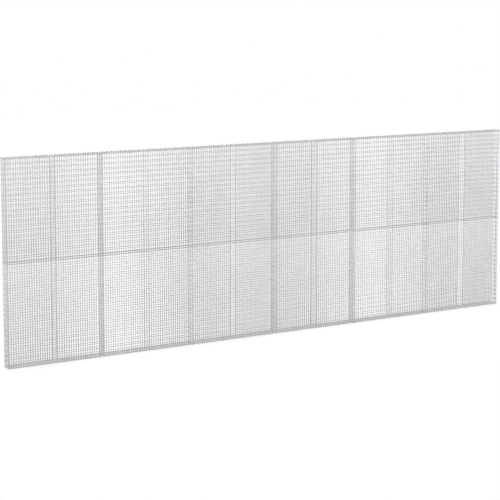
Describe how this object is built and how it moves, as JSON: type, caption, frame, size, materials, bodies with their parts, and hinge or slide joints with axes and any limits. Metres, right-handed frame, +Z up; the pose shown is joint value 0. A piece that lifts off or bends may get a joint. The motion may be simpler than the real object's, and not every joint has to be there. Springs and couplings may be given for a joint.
{
  "type": "gabion fence",
  "caption": "Long, thin gabion fence of empty welded-mesh wire baskets, closed by a mesh base and covers.",
  "frame": {"origin": "ground level at the middle of the fence's base", "axes": "+X along the fence, -Y is the front, +Z up"},
  "size_m": [6, 0.1212, 2.0243],
  "materials": {
    "mesh_wire": "dull hot-dip zinc on drawn wire"
  },
  "bodies": {
    "root": {"front_lower_1": "mesh_wire", "front_lower_2": "mesh_wire", "front_lower_3": "mesh_wire", "front_lower_4": "mesh_wire", "front_lower_5": "mesh_wire", "front_lower_6": "mesh_wire", "front_upper_1": "mesh_wire", "front_upper_2": "mesh_wire", "front_upper_3": "mesh_wire", "front_upper_4": "mesh_wire", "front_upper_5": "mesh_wire", "front_upper_6": "mesh_wire", "back_lower_1": "mesh_wire", "back_lower_2": "mesh_wire", "back_lower_3": "mesh_wire", "back_lower_4": "mesh_wire", "back_lower_5": "mesh_wire", "back_lower_6": "mesh_wire", "back_upper_1": "mesh_wire", "back_upper_2": "mesh_wire", "back_upper_3": "mesh_wire", "back_upper_4": "mesh_wire", "back_upper_5": "mesh_wire", "back_upper_6": "mesh_wire", "base_1": "mesh_wire", "base_2": "mesh_wire", "base_3": "mesh_wire", "cover_1": "mesh_wire", "cover_2": "mesh_wire", "cover_3": "mesh_wire", "partition_1": "mesh_wire", "partition_2": "mesh_wire", "partition_3": "mesh_wire", "partition_4": "mesh_wire", "partition_5": "mesh_wire", "left_end": "mesh_wire", "right_end": "mesh_wire"}
  },
  "joints": []
}
